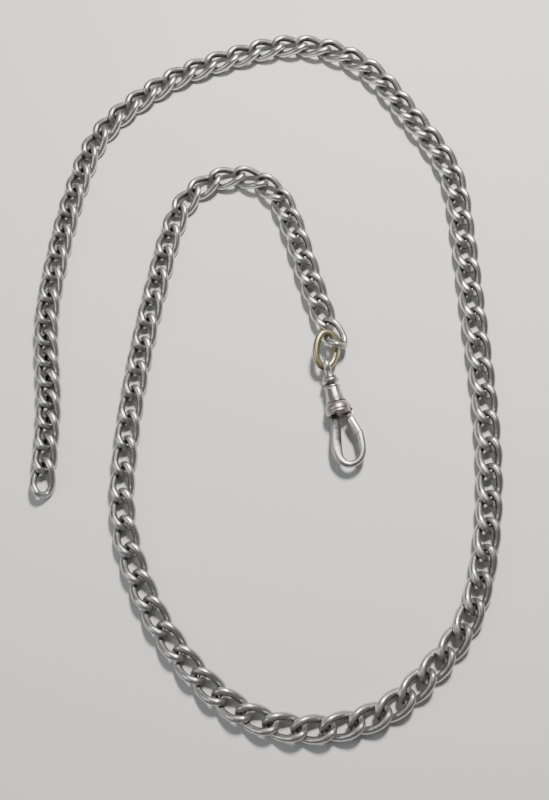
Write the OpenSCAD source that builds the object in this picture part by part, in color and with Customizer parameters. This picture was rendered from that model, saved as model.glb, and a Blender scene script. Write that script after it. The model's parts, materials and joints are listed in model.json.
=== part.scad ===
// Curb-link watch chain with an oval jump ring and a sprung swivel clasp, laid out in a loose coil.
// Millimetres. +Z is up, and the chain rests on z = 0.

/* [Chain links] */
// Diameter of the link wire
wire_d = 1.4; // [1.2:0.05:1.4]
// Width across one link
link_w = 5.5; // [5.4:0.05:5.8]
// Length over the ends of one link
link_len = 9.1; // [9:0.05:9.3]
// Angle that each end of a link is turned about the link's long axis
link_twist = 52; // [48:1:56]
// How square the link's outline is: 1 is an ellipse, less is fuller
link_fullness = 0.75; // [0.7:0.01:0.8]

/* [Jump ring] */
// Diameter of the ring's wire
ring_wire_d = 1.6; // [1.4:0.05:1.6]
// Width over the ring
ring_w = 6.1; // [6:0.05:6.3]
// Length over the ring
ring_len = 9.3; // [9.2:0.05:9.4]

/* [Swivel] */
// Diameter of the wire of the swivel eye
eye_wire_d = 1.2; // [1:0.05:1.25]
// Outside diameter of the swivel eye
eye_d = 4.5; // [4.4:0.05:4.7]
// Diameter of the shank that turns in the barrel
shank_d = 1.2; // [1:0.05:1.3]
// Radial clearance of turning fits
running_gap = 0.05; // [0.03:0.01:0.1]
// Diameter of the collar on the shank
collar_d = 3.8; // [3.4:0.1:4]
// Diameter of the barrel at its eye end
barrel_top_d = 3.6; // [3.4:0.1:3.8]
// Diameter of the barrel at its flange end
barrel_end_d = 4.3; // [4.2:0.1:4.4]
// Diameter of the base flange
flange_d = 5.6; // [5.4:0.1:5.8]

/* [Hook and gate] */
// Radius of the worn seat inside the hook's bend
seat_r = 2; // [1.95:0.01:2.05]
// Depth of the hook, square to its plane
hook_depth = 1.6; // [1.4:0.05:1.8]
// Diameter of the gate's hinge pin
pin_d = 0.6; // [0.5:0.05:0.65]

/* [Hidden] */
silver = [0.72, 0.71, 0.69];
dark_silver = [0.58, 0.57, 0.56];
brass = [0.62, 0.56, 0.36];

// Route of the chain's centreline on the table, from the free end to the clasp
route = [
    [-50, -20], [-50, 0], [-52, 20], [-50, 40], [-47, 55], [-43, 67], [-35, 76], [-23, 84],
    [-8, 89], [3, 91], [14, 89], [24, 82], [32, 70], [41, 54], [43, 36], [44, 18], [45, 0],
    [45, -18], [43, -34], [39, -47], [31, -57], [21, -65], [7, -68], [-6, -65], [-17, -56],
    [-26, -43], [-32, -26], [-32, -8], [-30, 10], [-27, 27], [-24, 41], [-21, 49], [-15, 54],
    [-7, 55], [0, 51], [3.5, 44], [6, 36], [8.5, 27], [12, 16]
];
// Distance from one link to the next, as [link number, pitch]: slack at the free end, drawn out later
pitches = [
    [1, 5.35], [5, 4.7], [10, 5.5], [20, 5.45], [30, 5.9], [45, 5.95],
    [52, 5.55], [60, 5.6], [68, 6], [78, 5.7], [88, 5.75], [95, 5.65]
];
first_joint = 0.5;
last_link = 95;
steps_per_point = 12;
link_rings = 14;
link_sides = 6;
// A six-sided wire is drawn a little over size, so that its mean thickness is the wire's
facet_allowance = 1.05;

function two_digits(k) = k < 10 ? str("0", k) : str(k);
function signed_pow(v, p) = sign(v) * pow(abs(v), p);

// Smooth curve through a list of points
function before(p, i) = i > 0 ? p[i - 1] : 2 * p[0] - p[1];
function after(p, i) = i < len(p) - 1 ? p[i + 1] : 2 * p[i] - p[i - 1];
function curve_at(p, i, u) =
    let (a = before(p, i), b = p[i], c = p[i + 1], d = after(p, i + 1))
    (2 * b + (c - a) * u + (2 * a - 5 * b + 4 * c - d) * u * u + (3 * b - a - 3 * c + d) * u * u * u) / 2;
function smooth(p, n) = [
    for (i = [0:len(p) - 2], k = [0:n - 1]) curve_at(p, i, k / n),
    p[len(p) - 1]
];

track = smooth(route, steps_per_point);
track_steps = [for (i = [1:len(track) - 1]) norm(track[i] - track[i - 1])];
track_len = [
    for (i = 0, s = 0; i < len(track); s = s + (i < len(track_steps) ? track_steps[i] : 0), i = i + 1) s
];
track_x = [for (i = [0:len(track) - 1]) [track_len[i], track[i][0]]];
track_y = [for (i = [0:len(track) - 1]) [track_len[i], track[i][1]]];
function track_at(s) = [lookup(s, track_x), lookup(s, track_y)];

// Points where neighbouring links meet, and each link's middle and direction
joint_s = [for (k = 1, s = first_joint; k <= last_link + 1; s = s + lookup(k, pitches), k = k + 1) s];
joints = [for (s = joint_s) track_at(s)];
function link_mid(k) = (joints[k - 1] + joints[k]) / 2;
function link_dir(k) = let (d = joints[k] - joints[k - 1]) atan2(d[1], d[0]);

half_len = (link_len - wire_d) / 2;
half_w = (link_w - wire_d) / 2;
// Centreline of a link at angle t: an oval whose ends are turned about its long axis
function link_curve(t) =
    let (
        x = half_len * signed_pow(cos(t), link_fullness),
        y = half_w * signed_pow(sin(t), link_fullness),
        turn = -link_twist * x / half_len
    )
    [x, y * cos(turn), y * sin(turn)];
link_path = [for (k = [0:link_rings - 1]) link_curve(k * 360 / link_rings)];
rest_z = max([for (k = [0:179]) link_curve(k * 2)[2]]) + wire_d / 2;

// The whole part is moved so that its box is centred on the origin
box_mid = [-3.4, 11.5];
last_mid = [13, 14, 2.62];
last_turn = [0, -17, -60];
ring_mid = [11.5, 10.15, 3.4];
ring_turn = [7, 23, -4];
clasp_start = [12.1, 4.2];
clasp_dir = -77;
clasp_z = flange_d / 2;

function unit(v) = v / norm(v);
// Cross section of a tube: it faces along the path, with its first corner outwards
function section(p, along, out, ra, rb, sides) =
    let (t = unit(along), n = unit(out - (out * t) * t), b = cross(t, n))
    [for (k = [0:sides - 1]) p + ra * cos(k * 360 / sides) * n + rb * sin(k * 360 / sides) * b];

// Closed tube round the origin
module closed_tube(path, r, sides) {
    n = len(path);
    points = [
        for (i = [0:n - 1])
            each section(path[i], path[(i + 1) % n] - path[(i + n - 1) % n], path[i], r, r, sides)
    ];
    faces = [
        for (i = [0:n - 1], k = [0:sides - 1])
            let (a = i * sides, b = (i + 1) % n * sides, m = (k + 1) % sides)
            each [[a + k, b + k, b + m], [a + k, b + m, a + m]]
    ];
    polyhedron(points = points, faces = faces);
}

// Open tube in the XY plane, with its own width at each point of the path
module flat_tube(path, widths, depth, sides) {
    n = len(path);
    points = [
        for (i = [0:n - 1])
            let (along = path[min(i + 1, n - 1)] - path[max(i - 1, 0)])
            each section([path[i][0], path[i][1], 0], [along[0], along[1], 0], [along[1], -along[0], 0],
                widths[i] / 2, depth / 2, sides)
    ];
    walls = [
        for (i = [0:n - 2], k = [0:sides - 1])
            let (a = i * sides, b = (i + 1) * sides, m = (k + 1) % sides)
            each [[a + k, b + k, b + m], [a + k, b + m, a + m]]
    ];
    start_cap = [for (k = [0:sides - 1]) k];
    end_cap = [for (k = [sides - 1:-1:0]) (n - 1) * sides + k];
    polyhedron(points = points, faces = concat(walls, [start_cap, end_cap]));
}

module link() {
    closed_tube(link_path, wire_d / 2 * facet_allowance, link_sides);
}

module in_place() {
    translate([-box_mid[0], -box_mid[1], 0]) children();
}

module placed_link(k) {
    in_place() translate([link_mid(k)[0], link_mid(k)[1], rest_z]) rotate([0, 0, link_dir(k)]) link();
}

// Two links that move as one
module link_pair(k) {
    color(silver) {
        placed_link(k);
        placed_link(k + 1);
    }
}

module link_95() {
    color(silver) placed_link(last_link);
}

// The last link lifts at its far end, where the ring lies under it
module link_96() {
    color(silver) in_place() translate(last_mid) rotate(last_turn) link();
}

ring_half_w = (ring_w - ring_wire_d) / 2;
ring_half_len = (ring_len - ring_wire_d) / 2;
ring_points = 24;
ring_fullness = 0.9;
module jump_ring() {
    path = [
        for (k = [0:ring_points - 1])
            let (t = k * 360 / ring_points)
            [
                ring_half_w * signed_pow(cos(t), ring_fullness),
                ring_half_len * signed_pow(sin(t), ring_fullness),
                0
            ]
    ];
    color(brass) in_place() translate(ring_mid) rotate(ring_turn)
        closed_tube(path, ring_wire_d / 2, 8);
}

// The clasp's own frame: X runs along its axis from the collar to the hook, Z is up
module clasp_frame() {
    in_place() translate([clasp_start[0], clasp_start[1], clasp_z]) rotate([0, 0, clasp_dir]) children();
}

// Turned piece: the profile holds [distance along the axis, radius]
module turned(profile) {
    rotate([0, 90, 0]) rotate_extrude($fn = 64) polygon([for (p = profile) [p[1], p[0]]]);
}

module rod(from, to, d) {
    translate([from, 0, 0]) rotate([0, 90, 0]) cylinder(h = to - from, d = d, $fn = 48);
}

// Rounded corner of a profile: points strictly between two ends, bulging away from the axis
function rounded(from, to, n) = [
    for (k = [1:n - 1])
        let (a = k * 90 / n)
        to[1] > from[1]
            ? [to[0] - (to[0] - from[0]) * cos(a), from[1] + (to[1] - from[1]) * sin(a)]
            : [from[0] + (to[0] - from[0]) * sin(a), to[1] + (from[1] - to[1]) * cos(a)]
];
corner_points = 4;

eye_r = (eye_d - eye_wire_d) / 2;
eye_mid = -eye_d / 2;
neck_overlap = 0.1;
shoulder_d = 2.2;
shoulder_len = 0.75;
shoulder_lip = 0.12;
collar_start = 0.05;
collar_end = 1.85;
small_rim_d = 3.1;
small_rim_soft = 0.25;
small_rim_end = 0.5;
collar_groove_d = 2.7;
collar_groove_end = 0.7;
press_gap = 0.02;
barrel_start = 2.4;
barrel_wall_end = 3.1;
barrel_end = 6;
lip_len = 0.45;
lip_depth = 0.15;
flange_start = 6.4;
flange_end = 9.1;
spigot_start = 5;
seat_overlap = 0.01;
cavity_r = 1.3;
head_gap = 0.1;
head_len = 0.7;
head_r = cavity_r - 0.2;

// Eye, shank and the burr head that keeps the shank in the barrel, all one forging
module swivel_eye() {
    r = eye_wire_d / 2;
    neck = eye_mid + eye_r - neck_overlap;
    head_start = barrel_wall_end + head_gap;
    color(dark_silver) clasp_frame() {
        translate([eye_mid, 0, 0]) rotate([90, 0, 0]) rotate_extrude($fn = 64)
            translate([eye_r, 0]) circle(d = eye_wire_d, $fn = 32);
        rod(neck, head_start + head_len, shank_d);
        rod(head_start, head_start + head_len, 2 * head_r);
        turned([
            [-shoulder_len, 0], [-shoulder_len, r + shoulder_lip], [0, shoulder_d / 2],
            [collar_start, shoulder_d / 2], [collar_start, 0]
        ]);
    }
}

// Collar with a small rim, a groove and a broad rim
module shank_collar() {
    bore = shank_d / 2 + press_gap;
    groove_r = collar_groove_d / 2;
    rim_r = small_rim_d / 2;
    r = collar_d / 2;
    rim_start = collar_start + small_rim_soft;
    rim_step = 0.1;
    soft = 0.45;
    color(silver) clasp_frame() turned([
        [collar_start, bore], [collar_start, groove_r], each rounded(
            [collar_start, groove_r], [rim_start, rim_r], corner_points),
        [rim_start, rim_r], [small_rim_end, rim_r], [small_rim_end + rim_step, groove_r],
        [collar_groove_end, groove_r], each rounded(
            [collar_groove_end, groove_r], [collar_groove_end + soft, r], corner_points),
        [collar_groove_end + soft, r], [collar_end - soft, r], each rounded(
            [collar_end - soft, r], [collar_end, groove_r], corner_points),
        [collar_end, groove_r], [collar_end, bore]
    ]);
}

module barrel() {
    r0 = barrel_top_d / 2;
    r1 = barrel_end_d / 2;
    bore = shank_d / 2 + running_gap;
    lip_end = barrel_start + lip_len;
    color(silver) clasp_frame() turned([
        [barrel_start, bore], [barrel_start, r0 - 2 * lip_depth], each rounded(
            [barrel_start, r0 - 2 * lip_depth], [barrel_start + lip_len / 2, r0], corner_points),
        [barrel_start + lip_len / 2, r0], [lip_end, r0], [lip_end + lip_depth, r0 - lip_depth],
        [barrel_end, r1], [barrel_end, cavity_r], [barrel_wall_end, cavity_r], [barrel_wall_end, bore]
    ]);
}

flange_bore = 1.6;
// Wire ring soldered over the joint between the barrel and the flange
module bead_ring() {
    r = barrel_end_d / 2;
    bead = 0.15;
    mid = (barrel_end + flange_start) / 2;
    color(dark_silver) clasp_frame() turned([
        [barrel_end, flange_bore], [barrel_end, r],
        each rounded([barrel_end, r], [mid, r + bead], corner_points), [mid, r + bead],
        each rounded([mid, r + bead], [flange_start, r], corner_points),
        [flange_start, r], [flange_start, flange_bore]
    ]);
}

hinge_x = 8.1;
hinge_y = 2.35;
knuckle_r = 0.9;
gate_thick = 1;
slot_z = gate_thick + 0.2;
slot_start = 6.9;
slot_floor = 0.9;
// Domed flange with a slot for the gate and a spigot inside the barrel
module base_flange() {
    r = flange_d / 2;
    spigot_r = cavity_r - press_gap;
    neck_r = flange_bore - 0.05;
    dome_start = r - 0.6;
    dome_len = 1.1;
    edge = 0.3;
    color(silver) clasp_frame() difference() {
        turned([
            [spigot_start, 0], [spigot_start, spigot_r], [barrel_end + seat_overlap, spigot_r],
            [barrel_end + seat_overlap, neck_r], [flange_start, neck_r],
            [flange_start, dome_start], each rounded(
                [flange_start, dome_start], [flange_start + dome_len, r], corner_points),
            [flange_start + dome_len, r], [flange_end - edge, r], each rounded(
                [flange_end - edge, r], [flange_end, r - edge], corner_points),
            [flange_end, r - edge], [flange_end, 0]
        ]);
        translate([slot_start, slot_floor, -slot_z / 2]) cube([flange_end, flange_d, slot_z]);
        translate([hinge_x, hinge_y, -flange_d]) cylinder(h = 2 * flange_d, d = pin_d, $fn = 32);
    }
}

// Hook centreline from the flange to the tip, with the width of the hook at each point
hook_route = [
    [9.1, -1.15], [11, -1.25], [13, -1.75], [15, -2.25], [17, -2.45], [18.5, -2.15], [19.6, -1.45],
    [20.1, -0.4], [19.95, 0.8], [19.3, 1.9], [18.2, 2.6], [16.9, 2.9], [15.4, 3], [14, 3.1]
];
hook_widths = [1.5, 1.7, 2.1, 2.35, 2.25, 1.9, 1.6, 1.45, 1.45, 1.5, 1.6, 1.7, 1.75, 1.75];
seat_mid = [17.5, 0.3];
module hook() {
    color(silver) clasp_frame() difference() {
        flat_tube(smooth(hook_route, 2), smooth(hook_widths, 2), hook_depth, 10);
        translate([seat_mid[0], seat_mid[1], -hook_depth])
            cylinder(h = 2 * hook_depth, r = seat_r, $fn = 64);
    }
}

// Gate: a knuckle in the flange's slot, a thin neck and a broad tongue that meets the hook's tip
module gate() {
    tongue = [[10.1, 1.15], [10.05, 2.85], [12, 3.3], [13.55, 3.75], [13.85, 2.2], [12, 1.65]];
    neck = [[hinge_x, hinge_y + 0.2], [hinge_x + 0.3, hinge_y + 0.8], [11, 2.95], [11, 1.9]];
    color(silver) clasp_frame() difference() {
        union() {
            translate([hinge_x, hinge_y, -gate_thick / 2])
                cylinder(h = gate_thick, r = knuckle_r, $fn = 48);
            translate([0, 0, -gate_thick / 2]) linear_extrude(gate_thick) polygon(neck);
            translate([0, 0, -hook_depth / 2]) linear_extrude(hook_depth) polygon(tongue);
        }
        translate([hinge_x, hinge_y, -gate_thick])
            cylinder(h = 2 * gate_thick, r = pin_d / 2 + running_gap, $fn = 32);
    }
}

module gate_pin() {
    half = sqrt(pow(flange_d / 2, 2) - pow(hinge_y + pin_d / 2, 2));
    color(dark_silver) clasp_frame() translate([hinge_x, hinge_y, -half])
        cylinder(h = 2 * half, d = pin_d, $fn = 32);
}

// Leaf spring behind the gate's knuckle
module gate_spring() {
    leaf = [2, 0.2, 0.8];
    leaf_start = slot_start + 0.1;
    color(dark_silver) clasp_frame() translate([leaf_start, slot_floor, -leaf[2] / 2]) cube(leaf);
}

for (k = [1:2:93])
    link_pair(k);
link_95();
link_96();
jump_ring();
swivel_eye();
shank_collar();
barrel();
bead_ring();
base_flange();
hook();
gate();
gate_pin();
gate_spring();
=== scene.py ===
import json
import math
import random

import bmesh
import bpy
import numpy
from mathutils import Euler, Matrix, Vector


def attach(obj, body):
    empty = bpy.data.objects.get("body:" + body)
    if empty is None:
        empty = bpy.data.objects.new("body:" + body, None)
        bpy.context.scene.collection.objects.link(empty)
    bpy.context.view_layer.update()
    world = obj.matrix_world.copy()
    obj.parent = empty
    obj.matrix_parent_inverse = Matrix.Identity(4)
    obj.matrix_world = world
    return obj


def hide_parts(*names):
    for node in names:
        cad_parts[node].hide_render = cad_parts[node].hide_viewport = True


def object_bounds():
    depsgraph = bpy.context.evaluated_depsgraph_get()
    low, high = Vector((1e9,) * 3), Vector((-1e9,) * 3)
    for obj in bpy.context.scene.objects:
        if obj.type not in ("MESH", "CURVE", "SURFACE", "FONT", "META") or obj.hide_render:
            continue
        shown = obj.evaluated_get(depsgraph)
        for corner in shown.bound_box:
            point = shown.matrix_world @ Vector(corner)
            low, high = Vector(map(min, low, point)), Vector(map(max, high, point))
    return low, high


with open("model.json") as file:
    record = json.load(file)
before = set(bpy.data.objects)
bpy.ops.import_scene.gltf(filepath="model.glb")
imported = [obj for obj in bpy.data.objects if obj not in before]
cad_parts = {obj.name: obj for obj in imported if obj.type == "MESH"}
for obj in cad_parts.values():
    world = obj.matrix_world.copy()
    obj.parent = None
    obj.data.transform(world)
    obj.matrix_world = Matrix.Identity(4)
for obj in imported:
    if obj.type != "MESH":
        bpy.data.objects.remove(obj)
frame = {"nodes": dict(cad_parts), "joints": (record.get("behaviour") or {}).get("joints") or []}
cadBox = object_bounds()

mm = 0.001
samePoint = 0.001                        # mm, points nearer than this are merged
nodes = frame["nodes"]
joints = {joint["name"]: joint for joint in frame["joints"]}

studio = {
    "cameraAt": (19, -72, 191),          # mm, above the near end of the coil
    "cameraAim": (3.4, -11.5, 0),
    "lens": 41.3,
    "nearClip": 0.01,                    # metres
    "floorSize": 12,                     # metres
    "floorColour": (0.66, 0.655, 0.64, 1),
    "floorRoughness": 0.85,
    "floorShine": 0.2,
    "worldColour": (0.80, 0.82, 0.85, 1),
    "worldStrength": 0.22,
}

lamps = {
    # name: (place in mm, size in mm, watts, colour)
    "windowLight": ((90, 190, 330), (60, 80), 3.3, (1.0, 0.98, 0.95)),
    "fillLight": ((-260, -40, 260), (200, 200), 0.3, (0.90, 0.95, 1.0)),
}


def lookAt(place, target, up=(0, 1, 0)):
    back = (Vector(place) - Vector(target)).normalized()
    right = Vector(up).cross(back).normalized()
    turned = Matrix((right, back.cross(right), back)).transposed()
    return Matrix.Translation(place) @ turned.to_4x4()


def makeCamera():
    scene = bpy.context.scene
    camera = bpy.data.objects.new("camera", bpy.data.cameras.new("camera"))
    scene.collection.objects.link(camera)
    camera.data.lens = studio["lens"]
    camera.data.clip_start = studio["nearClip"]
    camera.matrix_world = lookAt(Vector(studio["cameraAt"]) * mm, Vector(studio["cameraAim"]) * mm)
    scene.camera = camera


def makeLight():
    scene = bpy.context.scene
    for name, (place, size, watts, colour) in lamps.items():
        data = bpy.data.lights.new(name, "AREA")
        data.shape = "RECTANGLE"
        data.size, data.size_y = size[0] * mm, size[1] * mm
        data.energy = watts
        data.color = colour
        lamp = bpy.data.objects.new(name, data)
        scene.collection.objects.link(lamp)
        lamp.matrix_world = lookAt(Vector(place) * mm, (0, 0, 0))

    scene.world = bpy.data.worlds.new("world")
    scene.world.use_nodes = True
    background = scene.world.node_tree.nodes["Background"]
    background.inputs["Color"].default_value = studio["worldColour"]
    background.inputs["Strength"].default_value = studio["worldStrength"]


def makeFloor():
    bm = bmesh.new()
    bmesh.ops.create_grid(bm, x_segments=1, y_segments=1, size=studio["floorSize"] / 2)
    bmesh.ops.translate(bm, verts=bm.verts, vec=(0, 0, cadBox[0].z))
    mesh = bpy.data.meshes.new("floor")
    bm.to_mesh(mesh)
    bm.free()
    floor = bpy.data.objects.new("floor", mesh)
    bpy.context.scene.collection.objects.link(floor)
    paper = bpy.data.materials.new("paper")
    paper.use_nodes = True
    shader = paper.node_tree.nodes["Principled BSDF"]
    shader.inputs["Base Color"].default_value = studio["floorColour"]
    shader.inputs["Roughness"].default_value = studio["floorRoughness"]
    shader.inputs["Specular IOR Level"].default_value = studio["floorShine"]
    mesh.materials.append(paper)


makeCamera()
makeLight()
makeFloor()
print("studio made")


class Wire:
    # one socket of a shader, so that sums on sockets read as sums
    def __init__(self, shader, socket):
        self.shader = shader
        self.socket = socket

    def math(self, operation, first, second):
        return self.shader.add("ShaderNodeMath", {"operation": operation}, {0: first, 1: second})

    def __add__(self, other):
        return self.math("ADD", self, other)

    def __radd__(self, other):
        return self.math("ADD", other, self)

    def __sub__(self, other):
        return self.math("SUBTRACT", self, other)

    def __rsub__(self, other):
        return self.math("SUBTRACT", other, self)

    def __mul__(self, other):
        return self.math("MULTIPLY", self, other)

    def __rmul__(self, other):
        return self.math("MULTIPLY", other, self)


class Shader:
    def __init__(self, name):
        self.material = bpy.data.materials.new(name)
        self.material.use_nodes = True
        self.tree = self.material.node_tree
        self.surface = self.tree.nodes["Principled BSDF"]

    def put(self, node, key, value):
        socket = node.inputs[key]
        if isinstance(value, Wire):
            self.tree.links.new(value.socket, socket)
        else:
            socket.default_value = value

    def add(self, kind, settings, values, output=0):
        node = self.tree.nodes.new(kind)
        for key, value in settings.items():
            setattr(node, key, value)
        for key, value in values.items():
            self.put(node, key, value)
        return Wire(self, node.outputs[output])

    def place(self, turn=0.0, stretch=(1, 1, 1)):
        # position on the piece, turned to the clasp's axis and stretched along it
        spot = self.add("ShaderNodeTexCoord", {}, {}, "Object")
        return self.add("ShaderNodeMapping", {"vector_type": "TEXTURE"},
                        {"Vector": spot, "Rotation": (0, 0, turn), "Scale": stretch})

    def noise(self, where, size, grain):
        detail, rough = grain
        return self.add("ShaderNodeTexNoise", {},
                        {"Vector": where, "Scale": 1 / (size * mm), "Detail": detail, "Roughness": rough},
                        "Fac")

    def ramp(self, value, span):
        low, high = span
        return self.add("ShaderNodeMapRange", {"interpolation_type": "SMOOTHSTEP"},
                        {"Value": value, "From Min": low, "From Max": high}, "Result")

    def mix(self, share, first, second):
        return self.add("ShaderNodeMix", {"data_type": "RGBA"}, {"Factor": share, 6: first, 7: second}, 2)

    def bump(self, height, strength, distance):
        return self.add("ShaderNodeBump", {},
                        {"Height": height, "Strength": strength, "Distance": distance}, "Normal")


def colour(r, g, b):
    return (r, g, b, 1)


silverLook = {
    "bright": colour(0.52, 0.505, 0.485),
    "tint": colour(0.36, 0.34, 0.32),
    "dark": colour(0.022, 0.020, 0.018),
    "roughness": 0.29,
    "cloudSize": 2.6,                    # mm across a patch of tarnish
    "cloudGrain": (4.0, 0.6),            # detail and roughness of a noise
    "cloudDepth": 0.8,
    "fleckShare": 0.22,                  # a fleck's size as a share of a patch's
    "fleckGrain": (3.0, 0.6),
    "fleckDepth": 0.35,
    "fleckStain": 0.4,
    "fleckRelief": 0.35,
    "stain": 0.6,
    "stainSpan": (0.42, 0.72),           # where a stain starts and where it is full
    "stainRough": 0.08,
    # how far grime and painted shade darken the metal, and where
    "grimeAndShade": 0.9,
    "grimeAndShadeSpan": (0.12, 0.85),
    "grimeAndShadeRough": 0.30,
    "dullness": 0.35,
    "scratchSize": 0.5,
    "scratchShape": (1, 0.35, 0.35),
    "scratchGrain": (2.0, 0.5),
    "scratchSpan": (0.52, 0.66),
    "scratchTone": 0.25,
    "scratchRough": 0.25,
    "scratchDepth": 0.5,
    "dentSize": 0.55,
    "dentGrain": (2.0, 0.5),
    "dentDepth": 0.6,
    "relief": 0.03,                      # mm, height of the bumps
    "reliefStrength": 0.6,
}
noiseMiddle = 0.5                        # a noise runs from 0 to 1 about this


def wornMetal(name, wear, turn=0.0):
    # old metal: bright where it rubs, darkened in its hollows by tarnish and painted shade, with fine
    # scratches and dents
    shader = Shader(name)
    spot = shader.place()
    hollowShade = shader.add("ShaderNodeAttribute", {"attribute_name": "hollowShade"}, {}, "Fac")
    cloud = shader.noise(spot, wear["cloudSize"], wear["cloudGrain"])
    fleck = shader.noise(spot, wear["cloudSize"] * wear["fleckShare"], wear["fleckGrain"])
    along = shader.place(turn, wear["scratchShape"])
    scratch = shader.noise(along, wear["scratchSize"], wear["scratchGrain"])
    dent = shader.noise(spot, wear["dentSize"], wear["dentGrain"])

    # grime and painted shade: the hollow-shade mask, broken up by tarnish clouds, darkens and dulls the metal
    clouded = hollowShade + (cloud - noiseMiddle) * wear["cloudDepth"]
    grimeAndShade = shader.ramp(clouded + (fleck - noiseMiddle) * wear["fleckDepth"], wear["grimeAndShadeSpan"])
    stain = shader.ramp(cloud + (fleck - noiseMiddle) * wear["fleckStain"], wear["stainSpan"]) * wear["stain"]
    rub = shader.ramp(scratch, wear["scratchSpan"])

    metal = shader.mix(stain, wear["bright"], wear["tint"])
    metal = shader.mix(rub * wear["scratchTone"], metal, wear["tint"])
    metal = shader.mix(grimeAndShade * wear["grimeAndShade"], metal, wear["dark"])
    rough = wear["roughness"] + grimeAndShade * wear["grimeAndShadeRough"] + stain * wear["stainRough"]
    relief = scratch * wear["scratchDepth"] + dent * wear["dentDepth"] + fleck * wear["fleckRelief"]
    shader.put(shader.surface, "Base Color", metal)
    shader.put(shader.surface, "Metallic", 1 - grimeAndShade * wear["dullness"])
    shader.put(shader.surface, "Roughness", rough + (scratch - noiseMiddle) * wear["scratchRough"])
    shader.put(shader.surface, "Normal", shader.bump(relief, wear["reliefStrength"], wear["relief"] * mm))
    return shader.material


def look(**changes):
    return {**silverLook, **changes}


swivel = joints["clasp_swivel"]
claspAxis = Vector(swivel["axis"]).normalized()
claspTurn = math.atan2(claspAxis.y, claspAxis.x)

finishes = {
    "chainSilver": wornMetal("chainSilver", look()),
    "ringBrass": wornMetal("ringBrass", look(
        bright=colour(0.39, 0.355, 0.225), tint=colour(0.25, 0.225, 0.13), dark=colour(0.05, 0.042, 0.028),
        stain=0.6, cloudSize=4.0, roughness=0.34)),
    "eyeSilver": wornMetal("eyeSilver", look(bright=colour(0.58, 0.56, 0.55), stain=0.4), claspTurn),
    "collarSilver": wornMetal("collarSilver", look(bright=colour(0.50, 0.475, 0.465)), claspTurn),
    "barrelSilver": wornMetal("barrelSilver", look(
        bright=colour(0.50, 0.475, 0.47), tint=colour(0.24, 0.22, 0.215), scratchShape=(9, 0.5, 0.5),
        scratchSize=0.34, scratchTone=0.75, scratchDepth=2.2, scratchRough=0.5, roughness=0.30), claspTurn),
    "beadSilver": wornMetal("beadSilver", look(bright=colour(0.30, 0.275, 0.265), stain=0.9), claspTurn),
    "flangeSilver": wornMetal("flangeSilver", look(
        bright=colour(0.47, 0.43, 0.42), tint=colour(0.31, 0.255, 0.245), stain=0.8, roughness=0.33,
        cloudSize=3.4), claspTurn),
    "hookSilver": wornMetal("hookSilver", look(
        bright=colour(0.39, 0.38, 0.365), roughness=0.32, scratchShape=(3, 0.7, 0.7)), claspTurn),
    "gateSilver": wornMetal("gateSilver", look(bright=colour(0.52, 0.51, 0.495), roughness=0.28), claspTurn),
    "darkSteel": wornMetal("darkSteel", look(
        bright=colour(0.24, 0.22, 0.21), stain=1.0, roughness=0.4), claspTurn),
}
print("materials made:", len(finishes))


def clamp(value):
    return min(1.0, max(0.0, value))


def power(value, exponent):
    return math.copysign(abs(value) ** exponent, value)


def paintHollowShade(mesh, rule):
    # stores how hidden each point is, from 0 on rubbed faces to 1 deep in a hollow; the shader paints this as
    # shade mixed with grime
    shade = mesh.attributes.new("hollowShade", "FLOAT", "POINT")
    shade.data.foreach_set("value", [rule(v.co, v.normal) for v in mesh.vertices])


def addPiece(name, mesh, body, finish, stands):
    piece = bpy.data.objects.new(name, mesh)
    bpy.context.scene.collection.objects.link(piece)
    mesh.materials.append(finishes[finish])
    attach(piece, body)
    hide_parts(*stands)


def roundEdges(bm, width, steepness=28):
    steep = math.radians(steepness)
    edges = [e for e in bm.edges if len(e.link_faces) == 2 and e.calc_face_angle() > steep]
    bmesh.ops.bevel(bm, geom=edges, offset=width, affect="EDGES", segments=3, profile=0.5, material=-1,
                    clamp_overlap=True)


def ovalLine(sizes):
    # middle of the wire round an oval lying flat, and the angle of each of its points
    halfLength = (sizes["length"] - sizes["cadWire"]) / 2
    halfWidth = (sizes["width"] - sizes["cadWire"]) / 2
    angles = [2 * math.pi * k / sizes["rings"] for k in range(sizes["rings"])]
    points = [(halfLength * power(math.cos(t), sizes["fullness"]),
               halfWidth * power(math.sin(t), sizes["fullness"]), 0) for t in angles]
    return angles, points, halfLength, halfWidth


def around(angle, middle, spread):
    # 1 at one place on the oval, fading to 0 on both sides
    return math.exp(-((angle - middle) / spread) ** 2)


def facingIn(co, normal, halfLength, halfWidth):
    # 1 where the wire faces the middle of its oval
    inward = -(normal.x * co.x / halfLength ** 2 + normal.y * co.y / halfWidth ** 2)
    return max(0.0, inward / max(math.hypot(co.x / halfLength ** 2, co.y / halfWidth ** 2), 1e-6))


def wireLoop(name, points, radii, depth, resolution):
    # closed round wire through the points
    curve = bpy.data.curves.new(name, "CURVE")
    curve.dimensions = "3D"
    curve.bevel_depth = depth
    curve.bevel_resolution = resolution
    spline = curve.splines.new("POLY")
    spline.points.add(len(points) - 1)
    for point, place, radius in zip(spline.points, points, radii):
        point.co = (*place, 1)
        point.radius = radius
    spline.use_cyclic_u = True
    holder = bpy.data.objects.new(name, curve)
    bpy.context.scene.collection.objects.link(holder)
    bpy.context.view_layer.update()
    mesh = bpy.data.meshes.new_from_object(holder.evaluated_get(bpy.context.evaluated_depsgraph_get()))
    bpy.data.objects.remove(holder)
    bpy.data.curves.remove(curve)
    mesh.shade_smooth()
    return mesh


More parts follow.
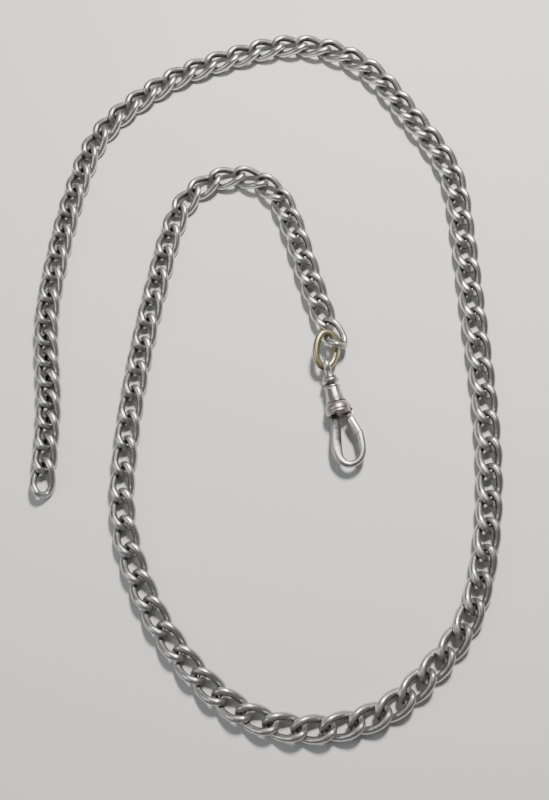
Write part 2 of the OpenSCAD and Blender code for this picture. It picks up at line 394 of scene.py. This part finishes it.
def looseParts(node):
    # the separate solids of a CAD node, each as its middle and its own axes
    bm = bmesh.new()
    bm.from_mesh(nodes[node].data)
    bmesh.ops.remove_doubles(bm, verts=bm.verts, dist=samePoint * mm)
    found, parts = set(), []
    for start in bm.verts:
        if start in found:
            continue
        found.add(start)
        front, part = [start], []
        while front:
            v = front.pop()
            part.append(tuple(v.co))
            for edge in v.link_edges:
                other = edge.other_vert(v)
                if other not in found:
                    found.add(other)
                    front.append(other)
        cloud = numpy.array(sorted(part))  # in one order, so that every run rounds alike
        centre = cloud.mean(0)
        spread = numpy.linalg.eigh(numpy.cov((cloud - centre).T))[1]
        long, wide = Vector(spread[:, 2]), Vector(spread[:, 1])
        axes = Matrix((long, wide, long.cross(wide))).transposed().to_4x4()
        parts.append(Matrix.Translation(Vector(centre)) @ axes)
    bm.free()
    return parts


linkSizes = {
    "wire": 1.56,                        # mm
    "tightWire": 1.45,                   # where the coil bends and neighbours crowd
    "crowded": 1.66,                     # distance between wire middles that counts as crowded
    "cadWire": 1.4,                      # width and length are measured over this wire
    "width": 5.5,
    "length": 9.1,
    "twist": 52,                         # degrees at each end
    "fullness": 0.75,
    "rings": 80,
    "resolution": 4,
    "flatDepth": 0.20,                   # worn off the top and bottom
    "flatCrown": 0.34,                   # how much of the round is left in the flat
    "endWear": 0.02,                     # how much thinner the wire is at its rubbed ends
    "jointSwell": 0.02,                  # thicker at the soldered joint
    "jointSpread": 0.16,                 # radians
    "lean": 0.35,                        # degrees that a link may lie out of line
    "leanSeed": 7,
    "insideShade": 0.7,
    "insidePower": 1.3,
    "endShade": 0.2,
    "underShade": 0.15,
    "sideShade": 0.22,
    "sideFrom": 0.75,
}


def linkLine(sizes):
    # the oval twisted about its length
    angles, flatPoints, halfLength, halfWidth = ovalLine(sizes)
    points = []
    for x, y, z in flatPoints:
        turn = math.radians(-sizes["twist"]) * x / halfLength
        points.append((x, y * math.cos(turn), y * math.sin(turn)))
    return angles, points, halfLength, halfWidth


def linkPattern(sizes, wire):
    angles, points, halfLength, halfWidth = linkLine(sizes)
    radii = []
    for t in angles:
        solder = around(t, math.pi / 2, sizes["jointSpread"])
        radii.append(1 - sizes["endWear"] * math.cos(t) ** 8 + sizes["jointSwell"] * solder)
    mesh = wireLoop("linkPattern", points, radii, wire / 2, sizes["resolution"])
    flat = max(v.co.z for v in mesh.vertices) - sizes["flatDepth"]
    for v in mesh.vertices:
        if abs(v.co.z) > flat:
            v.co.z = math.copysign(flat + (abs(v.co.z) - flat) * sizes["flatCrown"], v.co.z)

    def rule(co, normal):
        inside = facingIn(co, normal, halfLength, halfWidth) ** sizes["insidePower"] * sizes["insideShade"]
        end = abs(co.x / halfLength) ** 4 * sizes["endShade"]
        under = max(0.0, -normal.z) * sizes["underShade"]
        side = max(0.0, sizes["sideFrom"] - abs(normal.z)) * sizes["sideShade"]
        return inside + end + under + side

    paintHollowShade(mesh, rule)
    return mesh


def linkPlaces():
    # the node and the place of each link, from the chain's free end to the ring
    pairs = sorted(name for name in nodes if name.startswith("links_"))
    chain = pairs + sorted(name for name in nodes if name.startswith("link_"))
    places = []
    for node, after in zip(chain, chain[1:] + ["jump_ring"]):
        ahead = looseParts(after)[0].translation
        parts = sorted(looseParts(node), key=lambda part: -(part.translation - ahead).length)
        places += [(node, part) for part in parts]
    return places


def neighbourGaps(places):
    # mm between the wire middles of each link and the next
    points = linkLine(linkSizes)[1]
    line = numpy.array([(x * mm, y * mm, z * mm, 1) for x, y, z in points])
    lines = [(line @ numpy.array(part.transposed()))[:, :3] / mm for node, part in places]
    return [numpy.linalg.norm(a[:, None] - b[None], axis=2).min() for a, b in zip(lines, lines[1:])]


def makeLinks(sizes):
    patterns = {wire: linkPattern(sizes, wire) for wire in (sizes["wire"], sizes["tightWire"])}
    dice = random.Random(sizes["leanSeed"])
    places = linkPlaces()
    gaps = neighbourGaps(places)
    for index, (node, part) in enumerate(places):
        tight = min(gaps[max(index - 1, 0):index + 1]) < sizes["crowded"]
        wire = sizes["tightWire"] if tight else sizes["wire"]
        angles = [math.radians(dice.uniform(-sizes["lean"], sizes["lean"])) for _ in range(3)]
        lean = Euler(angles).to_matrix().to_4x4()
        mesh = patterns[wire].copy()
        mesh.transform(part @ lean @ Matrix.Scale(mm, 4))
        addPiece(f"link{index + 1:02d}", mesh, node, "chainSilver", [node])
    for pattern in patterns.values():
        bpy.data.meshes.remove(pattern)
    print("links made:", len(places), "smallest gap between wire middles:", round(float(min(gaps)), 2))


makeLinks(linkSizes)

ringSizes = {
    "wire": 1.58,
    "cadWire": 1.6,
    "width": 6.1,
    "length": 9.3,
    "fullness": 0.9,
    "rings": 96,
    "resolution": 5,
    "seam": 0.05,                        # depth of the closed cut
    "seamAt": 0.62,                      # of half a turn
    "seamSpread": 0.035,                 # radians
    "endWear": 0.03,
    "insideShade": 0.6,
    "insidePower": 1.5,
    "endShade": 0.3,
}


def makeRing(sizes):
    angles, points, halfLength, halfWidth = ovalLine(sizes)
    radii = []
    for t in angles:
        cut = around(t, sizes["seamAt"] * math.pi, sizes["seamSpread"])
        radii.append(1 - sizes["seam"] * cut - sizes["endWear"] * math.cos(t) ** 10)
    mesh = wireLoop("jumpRing", points, radii, sizes["wire"] / 2, sizes["resolution"])

    def rule(co, normal):
        inside = facingIn(co, normal, halfLength, halfWidth) ** sizes["insidePower"] * sizes["insideShade"]
        return inside + abs(co.x / halfLength) ** 6 * sizes["endShade"]

    paintHollowShade(mesh, rule)
    mesh.transform(looseParts("jump_ring")[0] @ Matrix.Scale(mm, 4))
    addPiece("jumpRing", mesh, "jump_ring", "ringBrass", ["jump_ring"])


makeRing(ringSizes)
print("ring made")

# The clasp is modelled in millimetres along its own axis: X to the hook, Y across, Z up
swivelFromStart = 2.4
claspStart = Vector(swivel["pos_m"]) - claspAxis * swivelFromStart * mm
claspPlace = (Matrix.Translation(claspStart) @ Matrix.Rotation(claspTurn, 4, "Z")) @ Matrix.Scale(mm, 4)
gateHinge = claspPlace.inverted() @ Vector(joints["clasp_gate"]["pos_m"])


def turned(profile, steps):
    # a lathe piece: the profile holds (distance along the axis, radius)
    bm = bmesh.new()
    verts = [bm.verts.new((along, radius, 0)) for along, radius in profile]
    edges = [bm.edges.new(pair) for pair in zip(verts, verts[1:])]
    if profile[0][1] > 0:
        edges.append(bm.edges.new((verts[-1], verts[0])))
    bmesh.ops.spin(bm, geom=verts + edges, cent=(0, 0, 0), axis=(1, 0, 0), dvec=(0, 0, 0),
                   angle=2 * math.pi, steps=steps, use_merge=True, use_duplicate=False)
    bmesh.ops.remove_doubles(bm, verts=bm.verts, dist=samePoint)
    bmesh.ops.recalc_face_normals(bm, faces=bm.faces)
    return bm


def grooveShade(profile, reach=0.4, depth=0.3, slack=0.02):
    # a groove has higher metal within reach on both of its sides
    def rule(co, normal):
        left = max([r for along, r in profile if -reach < along - co.x < slack] or [0])
        right = max([r for along, r in profile if -slack < along - co.x < reach] or [0])
        return clamp((min(left, right) - math.hypot(co.y, co.z)) / depth)
    return rule


def finishClasp(name, bm, body, finish, rule, node):
    bmesh.ops.remove_doubles(bm, verts=bm.verts, dist=samePoint)
    bmesh.ops.recalc_face_normals(bm, faces=bm.faces)
    mesh = bpy.data.meshes.new(name)
    bm.to_mesh(mesh)
    bm.free()
    mesh.shade_smooth()
    paintHollowShade(mesh, rule)
    mesh.transform(claspPlace)
    addPiece(name, mesh, body, finish, [node])


eyeSizes = {
    "wire": 1.2,
    "across": 4.5,
    "steps": 64,
    "wireSides": 20,
    "broad": 0.22,                       # how much wider than its wire the eye is over the ring
    "broadFrom": 0.9,                    # mm before the eye's middle, where it starts to widen
    "broadOver": 1.2,                    # mm in which it reaches its full width
    "broadRise": 0.8,                    # mm above the axis, where the width is full
    "shoulder": 1.15,                    # radius where the eye meets the collar
    "shank": 1.2,
    "headStart": 3.2,
    "headEnd": 3.9,
    "head": 1.1,
    "shankSteps": 48,
    "edge": 0.05,
    "insideShade": 0.5,
    "insideMargin": 0.2,                 # mm from the wire's middle to its shaded inner face
    "insideEnd": -0.4,
    "shankShade": 0.5,
}


def makeEye(sizes):
    wire = sizes["wire"] / 2
    ringRadius = sizes["across"] / 2 - wire
    middle = -sizes["across"] / 2
    neck = middle + ringRadius
    bm = turned([(neck - 0.25, 0), (neck - 0.2, wire), (neck + 0.3, wire + 0.12),
                 (-0.22, sizes["shoulder"] - 0.15), (-0.05, sizes["shoulder"]),
                 (0.04, sizes["shoulder"] - 0.05), (0.06, sizes["shank"] / 2),
                 (sizes["headStart"], sizes["shank"] / 2),
                 (sizes["headStart"], sizes["head"]), (sizes["headEnd"], sizes["head"]),
                 (sizes["headEnd"], 0)], sizes["shankSteps"])
    roundEdges(bm, sizes["edge"])
    circle = bmesh.ops.create_circle(bm, segments=sizes["wireSides"], radius=wire)["verts"]
    bmesh.ops.translate(bm, verts=circle, vec=(neck, 0, 0))
    edges = list({e for v in circle for e in v.link_edges})
    bmesh.ops.spin(bm, geom=circle + edges, cent=(middle, 0, 0), axis=(0, 1, 0), dvec=(0, 0, 0),
                   angle=2 * math.pi, steps=sizes["steps"], use_merge=True, use_duplicate=False)
    for v in bm.verts:
        over = clamp((v.co.x - middle + sizes["broadFrom"]) / sizes["broadOver"])
        if v.co.x < 0:
            v.co.y *= 1 + sizes["broad"] * (over * clamp(v.co.z / sizes["broadRise"]))

    def rule(co, normal):
        inner = math.hypot(co.x - middle, co.z) < ringRadius - sizes["insideMargin"]
        inside = sizes["insideShade"] if inner and co.x < sizes["insideEnd"] else 0.0
        return inside + (sizes["shankShade"] if co.x > 0 else 0.0)

    finishClasp("swivelEye", bm, "swivel_eye", "eyeSilver", rule, "swivel_eye")


collarSizes = {
    "profile": [(0.05, 0.62), (0.05, 1.15), (0.10, 1.38), (0.22, 1.52), (0.42, 1.55), (0.54, 1.48),
                (0.60, 1.40), (0.70, 1.40), (0.78, 1.58), (0.92, 1.80), (1.12, 1.90), (1.36, 1.90),
                (1.54, 1.80), (1.70, 1.62), (1.80, 1.40), (1.85, 1.0), (1.85, 0.62)],
    "steps": 72,
    "edge": 0.04,
}


def makeCollar(sizes):
    bm = turned(sizes["profile"], sizes["steps"])
    roundEdges(bm, sizes["edge"])
    finishClasp("shankCollar", bm, "swivel_eye", "collarSilver",
                grooveShade(sizes["profile"]), "shank_collar")


barrelSizes = {
    "profile": [(2.4, 0.66), (2.4, 1.45), (2.46, 1.66), (2.58, 1.78), (2.76, 1.80), (2.88, 1.70),
                (2.94, 1.60), (3.06, 1.58), (3.4, 1.63), (4.2, 1.75), (5.0, 1.89), (5.5, 2.0),
                (5.85, 2.10), (6.0, 2.15), (6.0, 1.3), (3.1, 1.3), (3.1, 0.66)],
    "steps": 96,
    "edge": 0.03,
    "bore": 1.4,                         # radius inside which no groove shows
    "grooveReach": 0.3,
    "grooveDepth": 0.25,
}


def makeBarrel(sizes):
    bm = turned(sizes["profile"], sizes["steps"])
    roundEdges(bm, sizes["edge"])
    outer = [p for p in sizes["profile"] if p[1] > sizes["bore"]]
    finishClasp("claspBarrel", bm, "barrel", "barrelSilver",
                grooveShade(outer, sizes["grooveReach"], sizes["grooveDepth"]), "barrel")


beadSizes = {
    "profile": [(6.0, 1.6), (6.0, 2.16), (6.04, 2.24), (6.12, 2.30), (6.22, 2.32), (6.31, 2.29),
                (6.38, 2.22), (6.4, 2.14), (6.4, 1.6)],
    "steps": 96,
    "shade": 0.75,                       # at the foot of the bead, none on its crown
    "foot": 2.15,
    "rise": 0.14,
}


def makeBead(sizes):
    bm = turned(sizes["profile"], sizes["steps"])

    def rule(co, normal):
        height = clamp((math.hypot(co.y, co.z) - sizes["foot"]) / sizes["rise"])
        return sizes["shade"] - sizes["shade"] * height

    finishClasp("beadRing", bm, "barrel", "beadSilver", rule, "bead_ring")


def cutWith(target, cutter):
    # takes the cutter's volume out of the target, both bmeshes
    solids = []
    for name, bm in (("target", target), ("cutter", cutter)):
        bmesh.ops.recalc_face_normals(bm, faces=bm.faces)
        mesh = bpy.data.meshes.new(name)
        bm.to_mesh(mesh)
        bm.free()
        solid = bpy.data.objects.new(name, mesh)
        bpy.context.scene.collection.objects.link(solid)
        solids.append(solid)
    cut = solids[0].modifiers.new("cut", "BOOLEAN")
    cut.operation = "DIFFERENCE"
    cut.solver = "EXACT"
    cut.object = solids[1]
    bpy.context.view_layer.update()
    made = bpy.data.meshes.new_from_object(solids[0].evaluated_get(bpy.context.evaluated_depsgraph_get()))
    bm = bmesh.new()
    bm.from_mesh(made)
    for solid in solids:
        bpy.data.objects.remove(solid)
    bpy.data.meshes.remove(made)
    return bm


flangeSizes = {
    "profile": [(5.0, 0), (5.0, 1.27), (6.0, 1.27), (6.0, 1.55), (6.4, 1.55), (6.4, 2.18), (6.48, 2.30),
                (6.66, 2.44), (6.95, 2.60), (7.25, 2.72), (7.6, 2.79), (7.95, 2.80), (8.2, 2.77),
                (8.29, 2.71), (8.36, 2.69), (8.44, 2.71), (8.62, 2.72), (8.78, 2.68), (8.92, 2.56),
                (9.02, 2.36), (9.07, 2.1), (9.09, 0)],
    "steps": 96,
    "spigot": 2,                         # radius inside which no groove shows
    "grooveReach": 0.25,
    "grooveDepth": 0.35,
    "slotStart": 6.9,
    "slotFloor": 0.9,
    "slotWidth": 1.2,
    "cutter": 4,                         # mm, long enough to leave the flange open
}


def makeFlange(sizes):
    side = sizes["cutter"]
    slot = bmesh.new()
    bmesh.ops.create_cube(slot, size=1)
    bmesh.ops.scale(slot, vec=(side, side, sizes["slotWidth"]), verts=slot.verts)
    bmesh.ops.translate(slot, vec=(sizes["slotStart"] + side / 2, sizes["slotFloor"] + side / 2, 0),
                        verts=slot.verts)
    bm = cutWith(turned(sizes["profile"], sizes["steps"]), slot)
    outer = [p for p in sizes["profile"] if p[1] > sizes["spigot"]]
    finishClasp("baseFlange", bm, "barrel", "flangeSilver",
                grooveShade(outer, sizes["grooveReach"], sizes["grooveDepth"]), "base_flange")


def sweep(stations, sides=28):
    # lofts a bar through stations of (x, y, width, depth, squareness, inner taper)
    bm = bmesh.new()
    loops = []
    for index, (x, y, width, depth, squareness, taper) in enumerate(stations):
        before = stations[max(index - 1, 0)]
        after = stations[min(index + 1, len(stations) - 1)]
        along = Vector((after[0] - before[0], after[1] - before[1], 0)).normalized()
        across = Vector((along.y, -along.x, 0))
        ring = bmesh.ops.create_circle(bm, segments=sides, radius=1)["verts"]
        for v in ring:
            side, up = power(v.co.x, squareness), power(v.co.y, squareness)
            lower = 1 - taper * max(0.0, -side) ** 1.2
            v.co = Vector((x, y, 0)) + across * side * width / 2 + Vector((0, 0, up * lower * depth / 2))
        loops.append(list({e for v in ring for e in v.link_edges}))
    for first, second in zip(loops, loops[1:]):
        bmesh.ops.bridge_loops(bm, edges=first + second)
    for end in (loops[0], loops[-1]):
        bmesh.ops.contextual_create(bm, geom=end)
    bmesh.ops.recalc_face_normals(bm, faces=bm.faces)
    return bm


def fair(rows, steps=4):
    # a smooth line of stations through the given ones
    found = []
    for i in range(len(rows) - 1):
        a = rows[max(i - 1, 0)]
        b, c = rows[i], rows[i + 1]
        d = rows[min(i + 2, len(rows) - 1)]
        for k in range(steps):
            u = k / steps
            found.append(tuple(
                (2 * q + (r - p) * u + (2 * p - 5 * q + 4 * r - s) * u * u
                 + (3 * q - p - 3 * r + s) * u ** 3) / 2
                for p, q, r, s in zip(a, b, c, d)))
    found.append(rows[-1])
    return found


seam = {
    "point": Vector((13.92, 3.0, 0)),    # where the gate's tip meets the hook's
    "normal": Vector((0.93, 0.36, 0)).normalized(),
    "gap": 0.07,
    "side": 0.9,                         # the tips are above this Y
    "end": 16.5,                         # and short of this X
}


def trimmed(bm, normal):
    # cuts the bar off at the seam and closes the cut; the far strand is left alone
    point = seam["point"] - normal * seam["gap"] / 2
    middles = {f: f.calc_center_median() for f in bm.faces}
    near = [f for f in bm.faces if middles[f].y > seam["side"] and middles[f].x < seam["end"]]
    geometry = list({g for f in near for g in [f, *f.edges, *f.verts]})
    cut = bmesh.ops.bisect_plane(bm, geom=geometry, dist=1e-5, plane_co=point, plane_no=normal,
                                 clear_outer=True)
    edges = [g for g in cut["geom_cut"] if isinstance(g, bmesh.types.BMEdge)]
    bmesh.ops.contextual_create(bm, geom=edges)
    return bm


hookSizes = {
    "stations": [
        # x, y, width, depth, squareness, inner taper
        (8.9, -1.15, 1.45, 1.5, 0.75, 0.0), (10.0, -1.2, 1.55, 1.55, 0.7, 0.2),
        (11.2, -1.32, 1.85, 1.6, 0.5, 0.35), (13, -1.72, 2.2, 1.6, 0.45, 0.42),
        (15, -2.2, 2.35, 1.6, 0.45, 0.42), (17, -2.42, 2.2, 1.6, 0.5, 0.35),
        (18.5, -2.15, 1.85, 1.55, 0.7, 0.25), (19.6, -1.42, 1.6, 1.5, 0.8, 0.1),
        (20.08, -0.38, 1.46, 1.45, 0.85, 0.0), (19.95, 0.8, 1.45, 1.45, 0.85, 0.0),
        (19.3, 1.9, 1.5, 1.5, 0.85, 0.0), (18.2, 2.6, 1.6, 1.55, 0.85, 0.0),
        (16.9, 2.92, 1.7, 1.6, 0.82, 0.0), (15.4, 3.05, 1.78, 1.6, 0.8, 0.0),
        (14.4, 3.08, 1.78, 1.6, 0.8, 0.0), (13.2, 3.1, 1.78, 1.6, 0.8, 0.0),
    ],
    "edge": 0.07,
    "edgeAngle": 50,
    "middle": Vector((15.5, 0.4, 0)),    # of the opening
    "insideShade": 0.62,
    "underShade": 0.15,
    "strandShade": 0.38,                 # on the straight strand, fading towards the bend
    "strandEnd": 17.5,
    "strandFade": 3,
    "bevelShade": 0.4,                   # on the strand's inner bevel
    "bevelStart": -2.3,
    "bevelFade": 0.9,
}


def makeHook(sizes):
    bm = trimmed(sweep(fair(sizes["stations"])), -seam["normal"])
    roundEdges(bm, sizes["edge"], sizes["edgeAngle"])

    def rule(co, normal):
        inward = normal.dot((sizes["middle"] - co).normalized())
        strand = clamp((sizes["strandEnd"] - co.x) / sizes["strandFade"]) if co.y < 0 else 0.0
        bevel = clamp((co.y - sizes["bevelStart"]) / sizes["bevelFade"]) * strand
        shade = max(0.0, inward) * sizes["insideShade"] + max(0.0, -normal.z) * sizes["underShade"]
        return shade + strand * sizes["strandShade"] + bevel * sizes["bevelShade"]

    finishClasp("claspHook", bm, "barrel", "hookSilver", rule, "hook")


gateSizes = {
    "stations": [
        # x, y, width, depth, squareness, inner taper
        (10.1, 2.0, 1.5, 1.25, 0.75, 0.0), (10.35, 2.06, 1.75, 1.5, 0.75, 0.0),
        (11, 2.22, 1.85, 1.6, 0.78, 0.0), (12, 2.5, 1.82, 1.6, 0.78, 0.0),
        (13.1, 2.84, 1.75, 1.6, 0.8, 0.0), (14.4, 3.2, 1.72, 1.6, 0.8, 0.0),
    ],
    "edge": 0.07,
    "edgeAngle": 50,
    "neck": [(8.1, 2.5), (8.4, 3.2), (10.6, 2.75), (10.6, 1.75)],
    "neckEdge": 0.12,
    "thickness": 1.0,                    # of the neck and the knuckle, in the flange's slot
    "knuckle": 0.9,                      # radius
    "knuckleSides": 48,
    "knuckleEdge": 0.1,
    "knuckleEdgeAngle": 60,
    "bore": 0.36,                        # radius of the pin's hole in the knuckle
    "boreLength": 3.0,
    "neckEnd": 10.2,
    "neckShade": 0.5,
    "insideShade": 0.35,
}


def hingeBar(radius, length, segments=32):
    # a round bar on the gate's hinge
    bm = bmesh.new()
    bmesh.ops.create_cone(bm, cap_ends=True, segments=segments, radius1=radius, radius2=radius, depth=length,
                          matrix=Matrix.Translation((gateHinge.x, gateHinge.y, 0)))
    return bm


def makeNeck(sizes):
    bm = bmesh.new()
    face = bm.faces.new([bm.verts.new((x, y, -sizes["thickness"] / 2)) for x, y in sizes["neck"]])
    solid = bmesh.ops.extrude_face_region(bm, geom=[face])["geom"]
    bmesh.ops.translate(bm, vec=(0, 0, sizes["thickness"]),
                        verts=[g for g in solid if isinstance(g, bmesh.types.BMVert)])
    roundEdges(bm, sizes["neckEdge"])
    return bm


def joined(target, extra):
    # puts one bmesh into another
    holder = bpy.data.meshes.new("holder")
    extra.to_mesh(holder)
    extra.free()
    target.from_mesh(holder)
    bpy.data.meshes.remove(holder)
    return target


def makeGate(sizes):
    bm = trimmed(sweep(fair(sizes["stations"])), seam["normal"])
    roundEdges(bm, sizes["edge"], sizes["edgeAngle"])
    knuckle = hingeBar(sizes["knuckle"], sizes["thickness"], sizes["knuckleSides"])
    roundEdges(knuckle, sizes["knuckleEdge"], sizes["knuckleEdgeAngle"])
    neck = cutWith(makeNeck(sizes), hingeBar(sizes["bore"], sizes["boreLength"]))
    knuckle = cutWith(knuckle, hingeBar(sizes["bore"], sizes["boreLength"]))
    bm = joined(bm, joined(neck, knuckle))

    def rule(co, normal):
        if co.x < sizes["neckEnd"]:
            return sizes["neckShade"]
        return max(0.0, -normal.y) * sizes["insideShade"]

    finishClasp("claspGate", bm, "gate", "gateSilver", rule, "gate")


pinSizes = {
    "radius": 0.3,
    "flange": 2.8,                       # radius of the flange that the pin runs through
    "proud": 0.05,                       # how far each end stands out
    "edge": 0.1,
    "shade": 0.3,
}


def makePin(sizes):
    half = math.sqrt(sizes["flange"] ** 2 - (gateHinge.y + sizes["radius"]) ** 2) + sizes["proud"]
    bm = hingeBar(sizes["radius"], 2 * half)
    roundEdges(bm, sizes["edge"])
    finishClasp("gatePin", bm, "barrel", "darkSteel",
                lambda co, normal: sizes["shade"], "gate_pin")


springSizes = {
    "stations": [
        # x, y, width, depth, squareness, inner taper: a leaf with a curled free end
        (7.0, 1.0, 0.2, 0.8, 0.4, 0), (7.6, 1.0, 0.2, 0.8, 0.4, 0), (8.3, 1.02, 0.2, 0.8, 0.4, 0),
        (8.8, 1.08, 0.2, 0.78, 0.4, 0), (9.0, 1.18, 0.2, 0.74, 0.4, 0),
    ],
    "sides": 20,
    "shade": 0.5,
}


def makeSpring(sizes):
    bm = sweep(sizes["stations"], sizes["sides"])
    finishClasp("gateSpring", bm, "barrel", "darkSteel",
                lambda co, normal: sizes["shade"], "gate_spring")


makeEye(eyeSizes)
makeCollar(collarSizes)
makeBarrel(barrelSizes)
makeBead(beadSizes)
makeFlange(flangeSizes)
makeHook(hookSizes)
makeGate(gateSizes)
makePin(pinSizes)
makeSpring(springSizes)
print("clasp made")
